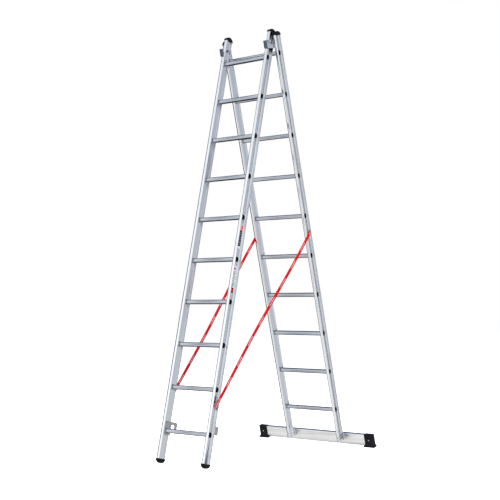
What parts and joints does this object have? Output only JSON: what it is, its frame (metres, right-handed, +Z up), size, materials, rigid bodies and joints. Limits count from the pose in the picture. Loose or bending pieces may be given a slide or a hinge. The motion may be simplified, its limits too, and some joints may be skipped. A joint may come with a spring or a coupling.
{
  "type": "combination ladder",
  "caption": "Aluminium combination ladder standing as an A-frame, with hinge guides, a stabiliser bar, rung hooks and red webbing straps.",
  "frame": {"origin": "middle of the footprint, on the ground, with the ladder standing open", "axes": "+Z up, -Y towards the front section, X along the rungs with the right-hand stile at +X"},
  "size_m": [1.023, 1.5212, 2.8483],
  "materials": {
    "aluminium_extrusion": "extruded satin, mill finish",
    "aluminium_bar": "extruded satin box section",
    "galvanised_plate": "zinc plated, dull",
    "zinc_fastener": "zinc plated",
    "black_plastic": "moulded, fine texture",
    "red_webbing": "woven polyester webbing",
    "sticker": "printed vinyl"
  },
  "bodies": {
    "rear_section": {"rear_stile_left": "aluminium_extrusion", "rear_stile_right": "aluminium_extrusion", "rear_rung_1": "aluminium_extrusion", "rear_rung_2": "aluminium_extrusion", "rear_rung_3": "aluminium_extrusion", "rear_rung_4": "aluminium_extrusion", "rear_rung_5": "aluminium_extrusion", "rear_rung_6": "aluminium_extrusion", "rear_rung_7": "aluminium_extrusion", "rear_rung_8": "aluminium_extrusion", "rear_rung_9": "aluminium_extrusion", "rear_rung_10": "aluminium_extrusion", "rear_cap_left": "black_plastic", "rear_cap_right": "black_plastic", "guide_left": "galvanised_plate", "guide_right": "galvanised_plate", "guide_rivets": "zinc_fastener", "stabiliser_bar": "aluminium_bar", "stabiliser_bolts": "zinc_fastener", "stabiliser_nuts": "zinc_fastener", "stabiliser_foot_left": "black_plastic", "stabiliser_foot_right": "black_plastic", "stabiliser_foot_screws": "zinc_fastener", "rear_strap_anchors": "zinc_fastener"},
    "front_section": {"front_stile_left": "aluminium_extrusion", "front_stile_right": "aluminium_extrusion", "front_rung_1": "aluminium_extrusion", "front_rung_2": "aluminium_extrusion", "front_rung_3": "aluminium_extrusion", "front_rung_4": "aluminium_extrusion", "front_rung_5": "aluminium_extrusion", "front_rung_6": "aluminium_extrusion", "front_rung_7": "aluminium_extrusion", "front_rung_8": "aluminium_extrusion", "front_rung_9": "aluminium_extrusion", "front_rung_10": "aluminium_extrusion", "front_cap_left": "black_plastic", "front_cap_right": "black_plastic", "front_foot_left": "black_plastic", "front_foot_right": "black_plastic", "hook_left": "galvanised_plate", "hook_right": "galvanised_plate", "hook_rivets": "zinc_fastener", "hinge_bolts": "zinc_fastener", "hinge_spacers": "zinc_fastener", "hinge_nuts": "zinc_fastener", "front_strap_anchors": "zinc_fastener", "label_upper": "sticker", "label_lower": "sticker", "strap_left": "red_webbing", "strap_right": "red_webbing"}
  },
  "joints": [
    {"name": "fold", "type": "hinge", "parent": "rear_section", "child": "front_section", "pos_m": [0.0305, -0.08359, 2.75], "axis": [1, 0, 0], "range_deg": [0, 27], "deforming": ["strap_left", "strap_right"]}
  ]
}
